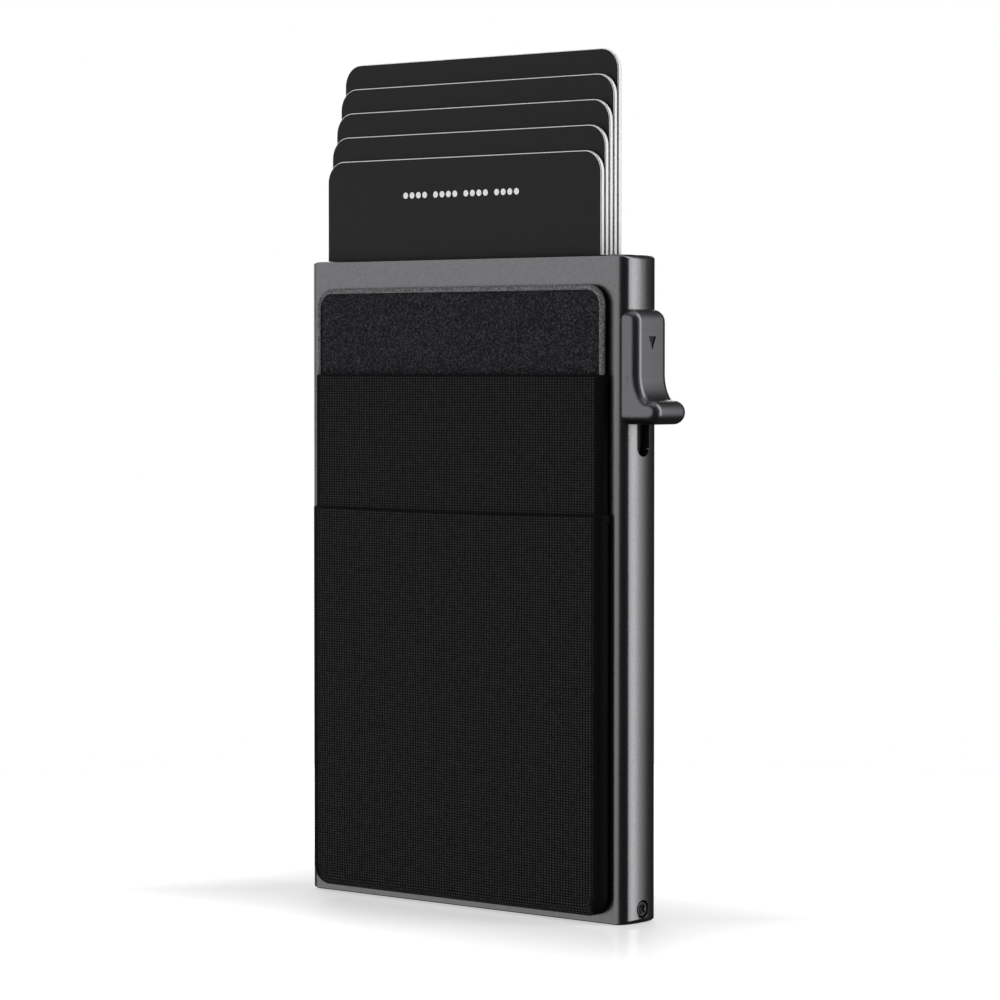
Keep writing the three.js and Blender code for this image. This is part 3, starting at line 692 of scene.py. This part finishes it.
class WALLET_OT_stage(bpy.types.Operator):
    """Sets up the camera, the pale floor and the soft lights"""

    bl_idname = "wallet.stage"
    bl_label = "Stage"

    def execute(self, context):
        scene = context.scene
        stage = scene.wallet_stage
        clear_selection()
        bpy.ops.object.camera_add(
            location=stage.eye, rotation=(math.pi / 2 - stage.tilt, 0, stage.turn)
        )
        camera = context.object
        camera.name = "camera"
        camera.data.sensor_width = 36
        camera.data.lens = stage.lens
        camera.data.clip_start = 0.01
        scene.camera = camera
        scene.view_settings.view_transform = "Standard"

        bpy.ops.mesh.primitive_circle_add(vertices=96, radius=stage.floor, fill_type="NGON")
        floor = context.object
        floor.name = "floor"
        floor.data.materials.append(lit_acrylic())
        # Kept out of the metal's mirror images, as a black card on the table would do.
        floor.visible_glossy = False

        for light in LIGHTS:
            self.softbox(*light)
        self.backdrop(scene)
        return {"FINISHED"}

    def softbox(self, name, azimuth, elevation, distance, size, radiance):
        """A rectangular light that faces the wallet's middle, set by its brightness as seen."""
        a, e = math.radians(azimuth), math.radians(elevation)
        back = Vector((math.sin(a) * math.cos(e), -math.cos(a) * math.cos(e), math.sin(e)))
        target = Vector(LIT_PLACE)
        bpy.ops.object.light_add(type="AREA", location=target + back * distance)
        lamp = bpy.context.object
        lamp.name = name
        lamp.rotation_euler = back.to_track_quat("Z", "Y").to_euler()
        lamp.data.shape = "RECTANGLE"
        lamp.data.size, lamp.data.size_y = size
        lamp.data.energy = radiance * math.pi * size[0] * size[1]
        lamp.visible_camera = False

    def backdrop(self, scene):
        """White all round for the camera, and a dim room for everything that the lights don't reach."""
        world = bpy.data.worlds.new("studio")
        scene.world = world
        world.use_nodes = True
        tree = world.node_tree
        room = tree.nodes["Background"]
        feed(tree, room, {"Color": (0.045, 0.045, 0.046, 1)})
        white = add_node(tree, "Background", {"Color": (1, 1, 1, 1)})
        seen = add_node(tree, "LightPath").outputs["Is Camera Ray"]
        mix = add_node(tree, "MixShader", {0: seen, 1: room, 2: white})
        feed(tree, tree.nodes["World Output"], {"Surface": mix})


class WALLET_OT_case(bpy.types.Operator):
    """Builds the aluminium tube with its slot and screw seats"""

    bl_idname = "wallet.case"
    bl_label = "Case"

    def execute(self, context):
        sizes = context.scene.wallet_case
        low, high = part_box("case_shell")
        tube = case_form("case_tube", sizes, 0, low.z - MM, high.z + MM)
        # The pillow cuts the tube to its length and rounds its rims: fully across the ends, and
        # less along the faces, because it is deeper than the tube.
        pillow = case_form("pillow", sizes, PILLOW_GROW, low.z, high.z)
        edit(pillow)
        bpy.ops.transform.resize(value=(1, PILLOW_DEPTH, 1), center_override=(0, 0, 0))
        choose(pillow, "EDGE", lambda e: not runs_along(e, 2))
        bpy.ops.mesh.bevel(offset=sizes.end, segments=7, affect="EDGES")
        bpy.ops.object.mode_set(mode="OBJECT")
        apply_modifier(tube, "BOOLEAN", operation="INTERSECT", solver="EXACT", object=pillow)
        bpy.data.meshes.remove(pillow.data)
        cut(tube, self.well(sizes, low, high))
        self.cut_slot(tube, sizes, high)
        for side in (1, -1):
            inner, outer = sorted((side * (high.x - sizes.wall - MM), side * (high.x + MM)))
            cut(tube, rod("seat", "X", inner, outer, sizes.seat, (0, sizes.seat_height)))
        apply_modifier(
            tube,
            "BEVEL",
            width=sizes.rim,
            segments=3,
            limit_method="ANGLE",
            angle_limit=math.radians(30),
        )
        finish_piece(
            tube, [blasted_aluminium(sizes.colour)], "case", ["case_shell"]
        )
        return {"FINISHED"}

    def well(self, sizes, low, high):
        """The hollow inside the tube, in which the rails, the cap and the slider fit."""
        inset = Vector((sizes.wall, sizes.wall, -MM))
        well = block("well", low + inset, high - inset)
        round_corners(well, 2, sizes.well_corner, 10)
        bpy.ops.object.mode_set(mode="OBJECT")
        return well

    def cut_slot(self, tube, sizes, high):
        """Cuts the slot with round ends through the tube's right end."""
        half = sizes.slot_width / 2
        cutter = block(
            "slot",
            (high.x - 3 * sizes.wall, -half, sizes.slot_low),
            (high.x + MM, half, sizes.slot_high),
        )
        round_corners(cutter, 0, half * ROUND_END, 10)
        bpy.ops.object.mode_set(mode="OBJECT")
        cut(tube, cutter)


class WALLET_OT_screws(bpy.types.Operator):
    """Builds the two cross-head screws that hold the bottom cap"""

    bl_idname = "wallet.screws"
    bl_label = "Cap screws"

    def execute(self, context):
        sizes = context.scene.wallet_screws
        steel = black_steel()
        for side, node in ((1, "screw_right"), (-1, "screw_left")):
            low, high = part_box(node)
            face, tip = (high.x, low.x) if side > 0 else (low.x, high.x)
            z = (low.z + high.z) / 2
            screw = self.turn_screw("cap_" + node, sizes, side, face, tip, z)
            for quarter in (math.pi / 4, -math.pi / 4):
                cut(screw, self.cross_bar(sizes, face, z, quarter))
            apply_modifier(
                screw,
                "BEVEL",
                width=sizes.edge,
                segments=2,
                limit_method="ANGLE",
                angle_limit=math.radians(50),
            )
            finish_piece(screw, [steel], "case", [node])
        return {"FINISHED"}

    def turn_screw(self, name, sizes, side, face, tip, z):
        """The shank with its countersunk head, pointing into the case."""
        neck = face - side * (sizes.cone + sizes.brim)
        screw = rod(name, "X", min(tip, neck), max(tip, neck), sizes.shank, (0, z), 32)
        edit(screw)
        choose(screw, "FACE", lambda f: lies_at(f, 0, neck))
        bpy.ops.mesh.extrude_region_move(TRANSFORM_OT_translate={"value": (side * sizes.cone, 0, 0)})
        grow = sizes.head / sizes.shank
        bpy.ops.transform.resize(value=(1, grow, grow), center_override=(neck, 0, z))
        bpy.ops.mesh.extrude_region_move(TRANSFORM_OT_translate={"value": (side * sizes.brim, 0, 0)})
        bpy.ops.object.mode_set(mode="OBJECT")
        return screw

    def cross_bar(self, sizes, face, z, quarter):
        """One slot of the cross, turned about the screw's axis."""
        half = Vector((sizes.cross_depth, sizes.cross_width / 2, sizes.cross_span / 2))
        centre = Vector((face, 0, z))
        bar = block("cross", centre - half, centre + half)
        edit(bar)
        bpy.ops.transform.rotate(value=quarter, orient_axis="X", center_override=centre)
        bpy.ops.object.mode_set(mode="OBJECT")
        return bar


class WALLET_OT_lever(bpy.types.Operator):
    """Builds the thumb lever with its foot, hollow and engraved arrow"""

    bl_idname = "wallet.lever"
    bl_label = "Thumb lever"

    def execute(self, context):
        sizes = context.scene.wallet_lever
        low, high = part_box("thumb_lever")
        case_low, case_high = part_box("case_shell")
        pad = case_high.x + sizes.stand
        lever = self.side_outline(sizes, low, high, pad, case_high.x - sizes.wrap)
        form = case_form("form", context.scene.wallet_case, sizes.gap, case_low.z, case_high.z)
        cut(lever, form)
        self.engrave(lever, sizes, pad, high.z)
        finish_piece(
            lever,
            [brushed_aluminium(sizes.colour), engraved_aluminium()],
            "slider",
            ["thumb_lever"],
        )
        # The arrow's floor lies behind the pad's face, inside the arrow's box.
        top = high.z - sizes.arrow_drop
        paint_faces(
            lever,
            1,
            lambda f: pad - 1.25 * sizes.arrow_depth < middle(f).x < pad - 0.05 * sizes.arrow_depth
            and abs(middle(f).y) < 0.6 * sizes.arrow_width
            and top - sizes.arrow_height - LOOSE < middle(f).z < top + LOOSE,
        )
        return {"FINISHED"}

    def side_outline(self, sizes, low, high, pad, back):
        """The lever's side outline, from its foot to its pad, with its front and back edges rounded."""
        foot = low.z + sizes.nose_height
        sweep = high.x - sizes.nose_round - pad
        lever = block("lever_body", (back, low.y, low.z), (pad, high.y, high.z))
        edit(lever)
        bpy.ops.mesh.bisect(plane_co=(0, 0, foot), plane_no=(0, 0, 1))
        choose(lever, "FACE", lambda f: f.normal.x > 0.9 and middle(f).z < foot)
        bpy.ops.mesh.extrude_region_move(TRANSFORM_OT_translate={"value": (high.x - pad, 0, 0)})
        # The hollow starts as a quarter circle between pad and foot, and is then drawn upwards.
        self.round_edge(lever, pad, foot, sweep, 14)
        choose(
            lever,
            "VERT",
            lambda v: foot + NEAR < v.co.z < foot + sweep + NEAR and v.co.x > pad - NEAR,
        )
        stretch = sizes.hollow / sweep
        bpy.ops.transform.resize(value=(1, 1, stretch), center_override=(pad, 0, foot))
        self.round_edge(lever, high.x, foot, sizes.nose_round, 10)
        self.round_edge(lever, high.x, low.z, sizes.nose_round, 10)
        self.round_edge(lever, pad, high.z, sizes.pad_corner, 10)
        bpy.ops.mesh.select_all(action="SELECT")
        bpy.ops.mesh.remove_doubles(threshold=2.5 * SLIVER)
        choose(
            lever,
            "EDGE",
            lambda e: (lies_at(e, 1, low.y) or lies_at(e, 1, high.y))
            and not lies_at(e, 0, back)
            and on_outline(e),
        )
        bpy.ops.mesh.bevel(offset=sizes.edge, segments=8, affect="EDGES")
        bpy.ops.object.mode_set(mode="OBJECT")
        return lever

    def round_edge(self, lever, x, z, radius, segments):
        """Rounds the edge that runs along Y at one place of the side outline."""
        choose(lever, "EDGE", lambda e: lies_at(e, 0, x, LOOSE) and lies_at(e, 2, z, LOOSE))
        bpy.ops.mesh.bevel(offset=radius, segments=segments, affect="EDGES")

    def engrave(self, lever, sizes, pad, top):
        """Sinks the downward arrow into the pad, as a three-sided bar with its tip below."""
        # The middle of a triangle is a third of its height from its base.
        centre = top - sizes.arrow_drop - sizes.arrow_height / 3
        clear_selection()
        bpy.ops.mesh.primitive_cylinder_add(
            vertices=3, radius=1, depth=2 * sizes.arrow_depth, location=(pad, 0, centre)
        )
        arrow = bpy.context.object
        arrow.rotation_euler = (-math.pi / 2, 0, math.pi / 2)
        arrow.scale = (sizes.arrow_width / math.sqrt(3), sizes.arrow_height / 1.5, 1)
        bpy.ops.object.transform_apply(location=True, rotation=True, scale=True)
        cut(lever, arrow)


class WALLET_OT_cards(bpy.types.Operator):
    """Builds the cards with their white cores and the printed dots"""

    bl_idname = "wallet.cards"
    bl_label = "Cards"

    def execute(self, context):
        sizes = context.scene.wallet_cards
        face, core = laminated_card(sizes.colour), card_core()
        for number in range(1, sizes.count + 1):
            node = f"card_{number}"
            low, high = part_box(node)
            card = block(f"bank_{node}", low, high)
            round_corners(card, 1, sizes.corner, 10)
            choose(card, "EDGE", lambda e: not runs_along(e, 1))
            bpy.ops.mesh.bevel(offset=sizes.edge, segments=2, affect="EDGES")
            bpy.ops.object.mode_set(mode="OBJECT")
            finish_piece(card, [core, face], node, [node])
            # The laminate covers both faces and wraps over the chamfers of the two long sides, where its
            # black also stands as painted shade between the cards' white edges.
            paint_faces(
                card,
                1,
                lambda f: abs(f.normal.y) > 0.95 or (abs(f.normal.y) > 0.2 and abs(f.normal.x) > 0.6),
            )
        self.print_dots(sizes)
        return {"FINISHED"}

    def print_dots(self, sizes):
        """The groups of dots: one dot is modelled, and the others are copies of it."""
        low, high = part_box("card_1")
        z = high.z - sizes.dot_drop
        count = sizes.groups * sizes.per_group
        span = (count - 1) * sizes.dot_pitch + (sizes.groups - 1) * sizes.group_gap
        first = (low.x + high.x) / 2 - span / 2
        front = low.y - sizes.ink
        dot = rod("dot", "Y", front, low.y + sizes.ink / 2, sizes.dot, (first, z), 24)
        dots = [dot]
        for i in range(1, count):
            clear_selection()
            copy = dot.copy()
            copy.data = dot.data.copy()
            bpy.context.collection.objects.link(copy)
            take(copy)
            step = i * sizes.dot_pitch + (i // sizes.per_group) * sizes.group_gap
            bpy.ops.transform.translate(value=(step, 0, 0))
            bpy.ops.object.transform_apply(location=True, rotation=True, scale=True)
            dots.append(copy)
        take(dot)
        for copy in dots:
            copy.select_set(True)
        bpy.ops.object.join()
        dot.name = dot.data.name = "card_print"
        edit(dot)
        choose(dot, "EDGE", lambda e: lies_at(e, 1, front))
        bpy.ops.mesh.bevel(offset=0.4 * sizes.ink, segments=1, affect="EDGES")
        bpy.ops.object.mode_set(mode="OBJECT")
        finish_piece(dot, [printed_ink()], "card_1", weighted=False)


class WALLET_OT_panel(bpy.types.Operator):
    """Builds the stick-on panel: its board and its edging"""

    bl_idname = "wallet.panel"
    bl_label = "Pocket panel"

    def execute(self, context):
        sizes = context.scene.wallet_pocket
        knit, paint = knit_binding(sizes.rim_colour), black_edge_and_shade()
        low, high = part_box("panel_board")
        inset = Vector((sizes.inset, 0, sizes.inset))
        # The board's black edge also stands as painted shade: the dark line round the panel.
        board = block("stiff_board", low + inset, high - inset)
        round_corners(board, 1, sizes.corner, 12)
        choose(board, "EDGE", lambda e: not runs_along(e, 1))
        bpy.ops.mesh.bevel(offset=sizes.board_edge, segments=2, affect="EDGES")
        bpy.ops.object.mode_set(mode="OBJECT")
        finish_piece(board, [paint], "case", ["panel_board"])

        low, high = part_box("panel_rim")
        rim = block("rim_edging", low + inset, high - inset)
        round_corners(rim, 1, sizes.corner, 12)
        choose(rim, "FACE", lambda f: abs(f.normal.y) > 0.9)
        bpy.ops.mesh.inset(thickness=sizes.rim_width)
        bpy.ops.mesh.bridge_edge_loops()
        front = low.y
        choose(rim, "EDGE", lambda e: lies_at(e, 1, front) and on_outline(e))
        bpy.ops.mesh.bevel(offset=sizes.rim_round, segments=6, affect="EDGES")
        bpy.ops.object.mode_set(mode="OBJECT")
        finish_piece(rim, [knit, paint], "case", ["panel_rim"])
        # The edging's inner wall is painted black like the board: painted shade for the dark line between
        # edging and lining.
        centre = (low + high) / 2
        paint_faces(rim, 1, lambda f: f.normal.dot(middle(f) - centre) < 0 and f.normal.y > -0.6)
        return {"FINISHED"}


def cloth_grid(name, flat, cells):
    """A flat grid of cloth, with its UV map and its points' places on the flat cut in metres."""
    clear_selection()
    bpy.ops.mesh.primitive_grid_add(
        x_subdivisions=cells[0], y_subdivisions=cells[1], size=1, calc_uvs=True
    )
    cloth = bpy.context.object
    cloth.name = cloth.data.name = name
    places = [
        Vector((v.co.x * flat[0], (v.co.y + 0.5) * flat[1])) for v in cloth.data.vertices
    ]
    return cloth, places


class WALLET_OT_lining(bpy.types.Operator):
    """Builds the suede lining that lies on the board"""

    bl_idname = "wallet.lining"
    bl_label = "Lining"

    def execute(self, context):
        sizes = context.scene.wallet_pocket
        low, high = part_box("lining_sheet")
        flat = (high.x - low.x, high.z - low.z)
        cloth, places = cloth_grid("suede_lining", flat, (100, 160))
        corner = sizes.corner - sizes.rim_width
        front = low.y + LINING_SET_BACK
        for vertex, place in zip(cloth.data.vertices, places):
            x, z = rounded(place, flat, corner)
            edge = min(flat[0] / 2 - abs(place.x), place.y, flat[1] - place.y)
            sunk = sizes.suede_sink * math.exp(-edge / sizes.suede_reach)
            vertex.co = (x, front + sunk, low.z + z)
        apply_modifier(cloth, "SOLIDIFY", thickness=sizes.suede, offset=-1)
        finish_piece(
            cloth,
            [microsuede(sizes.lining_colour)],
            "case",
            ["lining_sheet"],
            smooth=60,
            weighted=False,
        )
        return {"FINISHED"}


def corner_turn(out, down):
    """The angle on a round corner, from its side, at which a point of the square corner comes to lie."""
    turn = math.pi / 4 * min(out, down) / max(out, down)
    return math.pi / 2 - turn if down > out else turn


def rounded(place, flat, corner):
    """Moves a point of a rectangular cut so that the cut's four corners become round."""
    x, z = place.x, place.y
    upper = z > flat[1] - corner
    out = abs(x) - (flat[0] / 2 - corner)
    down = z - (flat[1] - corner) if upper else corner - z
    if out <= 0 or down <= 0:
        return x, z
    ring, turn = max(out, down), corner_turn(out, down)
    x = math.copysign(flat[0] / 2 - corner + ring * math.cos(turn), x)
    rise = ring * math.sin(turn)
    return x, flat[1] - corner + rise if upper else corner - rise


class WALLET_OT_pockets(bpy.types.Operator):
    """Builds the two elastic pockets, stretched over the panel and rolled round its edges"""

    bl_idname = "wallet.pockets"
    bl_label = "Elastic pockets"

    def execute(self, context):
        sizes = context.scene.wallet_pocket
        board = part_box("panel_board")[1].x
        layer = sizes.cloth + LAYER_GAP
        self.pocket(sizes, "pocket_upper", board - layer, 0.0, "suede_lining")
        self.pocket(sizes, "pocket_lower", board, sizes.sag, "elastic_pocket_upper")
        return {"FINISHED"}

    def pocket(self, sizes, node, half, sag, under):
        """Cuts one pocket flat, lays every point of it over the panel and gives it its thickness."""
        low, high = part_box(node)
        panel_low, panel_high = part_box("panel_board")
        bottom = panel_low.z + panel_high.x - half
        back = panel_high.y - CUT_BACK
        arc = math.pi / 4 * (sizes.roll + sizes.roll_depth)
        extra = arc + back - low.y - sizes.roll_depth - sizes.roll
        fold = math.pi * sizes.hem
        flat = (2 * (half + extra), high.z - sizes.hem - bottom + extra + fold + sizes.tuck)
        cloth, places = cloth_grid("elastic_" + node, flat, (150, 200))

        def lay(x, z):
            """Where a point of the flat cut lies once it is stretched, rolled and hemmed."""
            # How far past the start of the roll the point is, and how far it has turned there.
            aside = half + extra - abs(x)
            run = max(0.0, extra + sizes.roll - min(aside, z))
            turn = min(1.0, run / arc) * math.pi / 2
            inset = sizes.roll * (1 - math.sin(turn))
            y = low.y + sizes.roll_depth * (1 - math.cos(turn)) + max(0.0, run - arc)
            # In the lower corners the cloth is gathered round the panel's round corner.
            out = abs(x) - (half - sizes.corner)
            down = sizes.corner + extra - z
            if out > 0 and down > 0:
                angle = corner_turn(out, down)
                ring = sizes.corner - inset if run else max(out, down)
                px = math.copysign(half - sizes.corner + ring * math.cos(angle), x)
                pz = bottom + sizes.corner - ring * math.sin(angle)
            else:
                px = math.copysign(half - inset, x) if run and aside <= z else x
                pz = bottom + inset if run and z < aside else bottom + z - extra
            y -= sizes.crown * max(0.0, 1 - (x / (half - sizes.roll)) ** 4)
            # Past the mouth's fold the cloth turns back behind itself.
            over = z - (flat[1] - fold - sizes.tuck)
            if over > 0:
                bend = min(over, fold) / sizes.hem
                pz = high.z - sizes.hem * (1 - math.sin(bend)) - max(0.0, over - fold)
                y += sizes.hem * (1 - math.cos(bend))
            near = max(0.0, 1 - (high.z - pz) / sizes.sag_reach)
            return px, y, pz - sag * (1 - (x / half) ** 2) * near

        for vertex, place in zip(cloth.data.vertices, places):
            vertex.co = lay(place.x, place.y)
        apply_modifier(cloth, "SOLIDIFY", thickness=sizes.cloth, offset=-1)
        # Painted shade covers the mouth's fold, its tuck and a thin margin below, and the rolled sides.
        mouth_shade_span = fold + sizes.tuck + PAINTED_MOUTH_SHADOW
        elastic = woven_elastic(sizes.elastic_colour, flat, extra + sizes.roll, mouth_shade_span)
        finish_piece(cloth, [elastic], "case", [node], smooth=180, weighted=False)


class WALLET_OT_spring(bpy.types.Operator):
    """Winds the return spring, which shortens as the lever goes down"""

    bl_idname = "wallet.spring"
    bl_label = "Return spring"

    def execute(self, context):
        low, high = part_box("return_spring")
        sizes = context.scene.wallet_spring
        wire, turns = sizes.wire, sizes.turns
        centre = (low + high) / 2
        radius = (high.x - low.x) / 2 - wire
        clear_selection()
        bpy.ops.mesh.primitive_circle_add(
            vertices=10, radius=wire, fill_type="NGON", rotation=(math.pi / 2, 0, 0)
        )
        spring = context.object
        spring.name = spring.data.name = "coil_spring"
        spring.location = (radius, 0, 0)
        bpy.ops.object.transform_apply(location=True, rotation=True, scale=True)
        edit(spring)
        bpy.ops.mesh.delete(type="ONLY_FACE")
        rise = high.z - low.z - 2 * wire
        apply_modifier(
            spring,
            "SCREW",
            axis="Z",
            screw_offset=rise / turns,
            iterations=turns,
            steps=24,
            render_steps=24,
            use_merge_vertices=True,
            merge_threshold=WELD,
        )
        edit(spring)
        choose(spring, "EDGE", lambda e: e.is_boundary)
        bpy.ops.mesh.edge_face_add()
        bpy.ops.mesh.select_all(action="SELECT")
        bpy.ops.transform.translate(value=(centre.x, centre.y, low.z + wire))
        bpy.ops.object.mode_set(mode="OBJECT")
        finish_piece(
            spring,
            [bright_steel()],
            "case",
            ["return_spring"],
            smooth=50,
            weighted=False,
        )
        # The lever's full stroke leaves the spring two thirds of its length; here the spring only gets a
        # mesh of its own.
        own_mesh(spring)
        return {"FINISHED"}


class WALLET_OT_inner_parts(bpy.types.Operator):
    """Gives the working parts inside the case their materials"""

    bl_idname = "wallet.inner_parts"
    bl_label = "Inner parts"

    def execute(self, context):
        makers = {
            moulded_acetal: (
                "bottom_cap", "left_rail", "right_rail", "ejector", "slide_carriage", "rod_fork",
            ),
            bright_steel: ("spring_seat", "ejector_bracket", "pivot_pin", "drive_pin", "drive_rod"),
            black_steel: ("lever_screw_lower", "lever_screw_upper"),
            pressed_felt: ("friction_strip_front", "friction_strip_back"),
            foam_tape: ("adhesive_pad",),
        }
        for make, names in makers.items():
            material = make()
            for name in names:
                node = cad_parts[name]
                node.data.materials.clear()
                node.data.materials.append(material)
        return {"FINISHED"}


class WALLET_PT_panel(bpy.types.Panel):
    """Lists the wallet's pieces in the order they are built"""

    bl_label = "Pop-up card wallet"
    bl_idname = "WALLET_PT_panel"
    bl_space_type = "VIEW_3D"
    bl_region_type = "UI"
    bl_category = "Wallet"

    def draw(self, context):
        layout = self.layout
        scene = context.scene
        for group in GROUPS:
            settings = getattr(scene, group)
            box = layout.box()
            for name in settings.__annotations__:
                box.prop(settings, name)
        for operator in OPERATORS:
            layout.operator(operator.bl_idname)


GROUPS = {
    "wallet_case": WalletCase,
    "wallet_screws": WalletScrews,
    "wallet_lever": WalletLever,
    "wallet_cards": WalletCards,
    "wallet_pocket": WalletPocket,
    "wallet_spring": WalletSpring,
    "wallet_stage": WalletStage,
}
OPERATORS = (
    WALLET_OT_stage,
    WALLET_OT_case,
    WALLET_OT_screws,
    WALLET_OT_lever,
    WALLET_OT_cards,
    WALLET_OT_panel,
    WALLET_OT_lining,
    WALLET_OT_pockets,
    WALLET_OT_spring,
    WALLET_OT_inner_parts,
)


def register():
    for name, group in GROUPS.items():
        bpy.utils.register_class(group)
        setattr(bpy.types.Scene, name, PointerProperty(type=group))
    for operator in OPERATORS:
        bpy.utils.register_class(operator)
    bpy.utils.register_class(WALLET_PT_panel)


def unregister():
    bpy.utils.unregister_class(WALLET_PT_panel)
    for operator in reversed(OPERATORS):
        bpy.utils.unregister_class(operator)
    for name, group in GROUPS.items():
        delattr(bpy.types.Scene, name)
        bpy.utils.unregister_class(group)


def main():
    register()
    bpy.ops.wallet.stage()
    bpy.ops.wallet.case()
    bpy.ops.wallet.screws()
    bpy.ops.wallet.lever()
    bpy.ops.wallet.cards()
    bpy.ops.wallet.panel()
    bpy.ops.wallet.lining()
    bpy.ops.wallet.pockets()
    bpy.ops.wallet.spring()
    bpy.ops.wallet.inner_parts()


if __name__ == "__main__":
    main()
